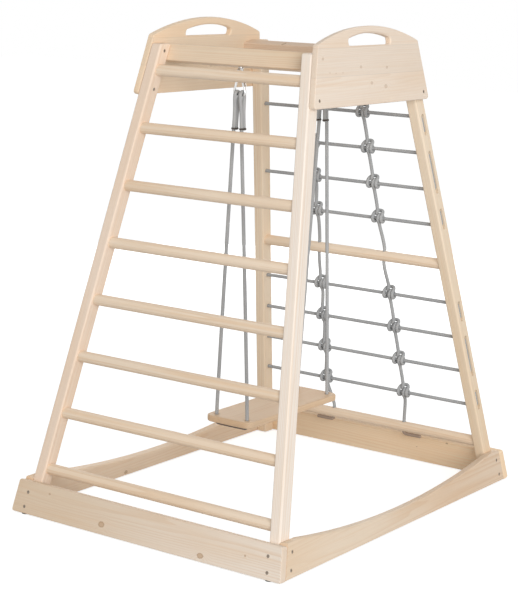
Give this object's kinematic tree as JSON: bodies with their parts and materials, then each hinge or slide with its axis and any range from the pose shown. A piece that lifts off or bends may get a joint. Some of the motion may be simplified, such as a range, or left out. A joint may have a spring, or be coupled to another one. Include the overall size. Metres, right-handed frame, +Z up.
{
  "type": "wooden climbing frame with swing",
  "caption": "Pyramid-shaped wooden climbing frame with a rung ladder on one side, a knotted rope net on the other, arched side caps with hand holes and a plank swing hung between them.",
  "frame": {"origin": "on the floor under the middle of the base", "axes": "+Z up, +X across the ladder to the right of someone facing it, +Y from the ladder to the net"},
  "size_m": [0.8705, 1.1498, 1.2979],
  "materials": {
    "post_wood": "sanded bare pine",
    "rung_wood": "sanded bare pine dowel",
    "rail_wood": "sanded bare pine",
    "cap_wood": "sanded edge-glued pine",
    "board_wood": "sanded bare pine",
    "seat_wood": "sanded bare pine",
    "grey_rope": "braided rope",
    "whipping_tape": "matt",
    "bright_steel": "zinc plated",
    "dark_screws": "dull zinc",
    "glide_plastic": "matt"
  },
  "bodies": {
    "frame": {"post_front_left": "post_wood", "post_front_right": "post_wood", "post_back_left": "post_wood", "post_back_right": "post_wood", "ladder_rung_1": "rung_wood", "ladder_rung_2": "rung_wood", "ladder_rung_3": "rung_wood", "ladder_rung_4": "rung_wood", "ladder_rung_5": "rung_wood", "ladder_rung_6": "rung_wood", "ladder_rung_7": "rung_wood", "ladder_rung_8": "rung_wood", "front_top_rail": "rail_wood", "back_top_rail": "rail_wood", "left_cap": "cap_wood", "right_cap": "cap_wood", "front_base_board": "board_wood", "back_base_board": "board_wood", "left_base_board": "board_wood", "right_base_board": "board_wood", "net_middle_rung": "rung_wood", "net_bottom_rung": "rung_wood", "net_rope_upper": "grey_rope", "net_rope_lower": "grey_rope", "net_upright_left": "grey_rope", "net_upright_right": "grey_rope", "front_base_screws": "dark_screws", "back_base_screws": "dark_screws", "left_base_screws": "dark_screws", "right_base_screws": "dark_screws", "cap_bolts": "dark_screws", "cap_bolt_nuts": "dark_screws", "cap_screws": "dark_screws", "rail_screws": "dark_screws", "foot_glides": "glide_plastic", "front_screw_eye": "bright_steel", "back_screw_eye": "bright_steel"},
    "swing": {"front_link": "bright_steel", "back_link": "bright_steel", "front_link_sleeve": "bright_steel", "back_link_sleeve": "bright_steel", "front_swing_rope": "grey_rope", "back_swing_rope": "grey_rope", "front_rope_whippings": "whipping_tape", "back_rope_whippings": "whipping_tape", "swing_seat": "seat_wood"}
  },
  "joints": [
    {"name": "swing_sway", "type": "hinge", "parent": "frame", "child": "swing", "pos_m": [0, 0, 1.15944], "axis": [0, 1, 0], "range_deg": [-40, 40]}
  ]
}
